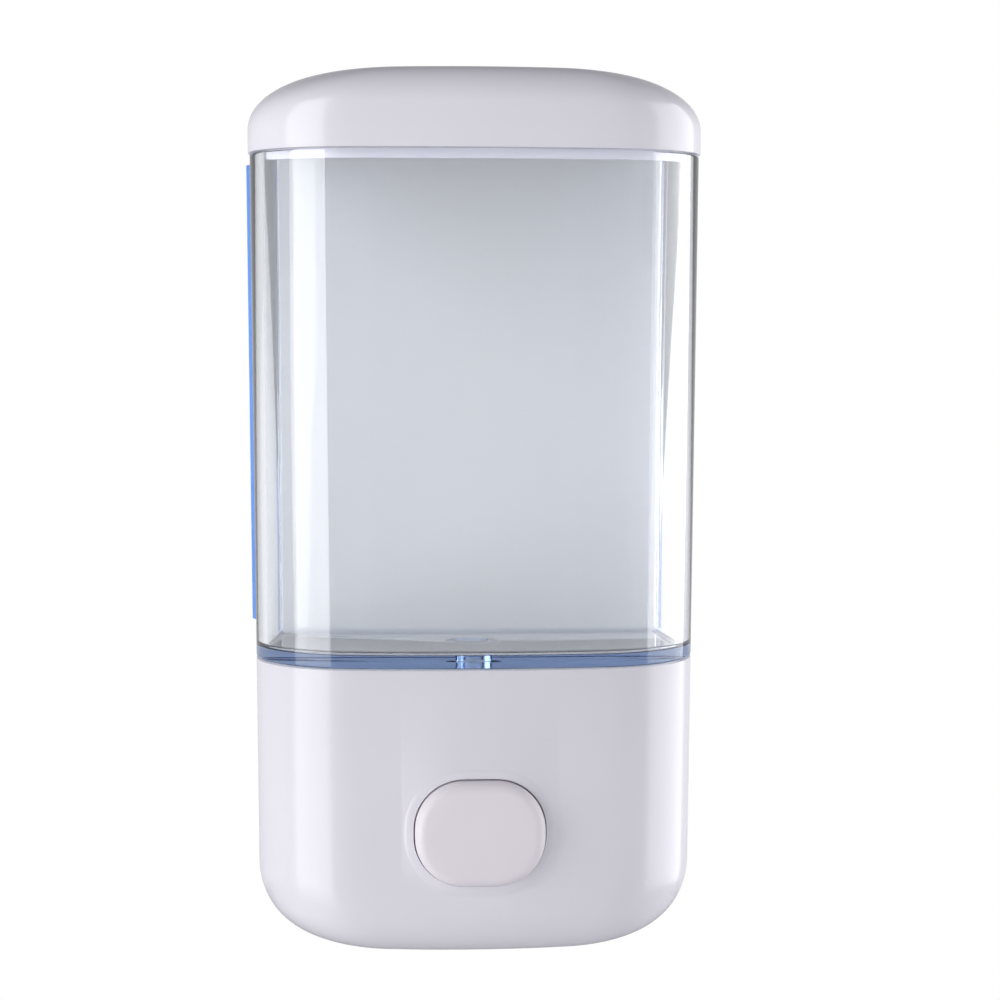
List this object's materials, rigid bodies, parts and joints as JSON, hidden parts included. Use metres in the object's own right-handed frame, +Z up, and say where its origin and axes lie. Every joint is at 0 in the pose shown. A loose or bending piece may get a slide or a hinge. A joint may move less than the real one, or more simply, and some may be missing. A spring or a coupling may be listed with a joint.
{
  "type": "soap dispenser",
  "caption": "Wall mounted liquid soap dispenser: clear tank with a hinged white lid over a white pump cover with an oval push button.",
  "frame": {"origin": "middle of the four wall screw holes, on the wall plane", "axes": "+Z up, +Y into the wall, -Y is the front, +X to the right of a person facing it"},
  "size_m": [0.1044, 0.0755, 0.1975],
  "materials": {
    "white_abs": "glossy moulded ABS, white with a faint lilac cast",
    "button_abs": "satin moulded ABS, white",
    "clear_tank": "polished clear styrene plastic with a blue tint that shows at its edges",
    "natural_plastic": "natural polypropylene",
    "silicone": "matt translucent silicone rubber",
    "steel": "bright drawn stainless steel"
  },
  "bodies": {
    "wall": {"wall_plate": "white_abs"},
    "housing": {"back_panel": "white_abs", "tank": "clear_tank", "tank_seal": "silicone", "pump_cover": "white_abs", "cover_screws": "steel", "pump_body": "natural_plastic", "pump_screws": "steel", "barrel_cap": "natural_plastic", "inlet_valve": "silicone", "outlet_valve": "silicone", "nozzle": "white_abs", "nozzle_seal": "silicone", "channel_plug": "natural_plastic", "return_spring": "steel"},
    "lid": {"lid": "white_abs", "hinge_pins": "steel"},
    "button": {"push_button": "button_abs", "piston": "natural_plastic", "piston_seal": "silicone"}
  },
  "joints": [
    {"name": "housing_lift", "type": "slide", "parent": "wall", "child": "housing", "axis": [0, 0, 1], "range_m": [0, 0.012]},
    {"name": "lid_hinge", "type": "hinge", "parent": "housing", "child": "lid", "pos_m": [0, -0.0056, 0.0893], "axis": [-1, 0, 0], "range_deg": [0, 90]},
    {"name": "button_press", "type": "slide", "parent": "housing", "child": "button", "axis": [0, 1, 0], "range_m": [0, 0.008], "stiffness_N_per_m": 600, "springref_m": -0.005, "deforming": ["return_spring"]}
  ]
}
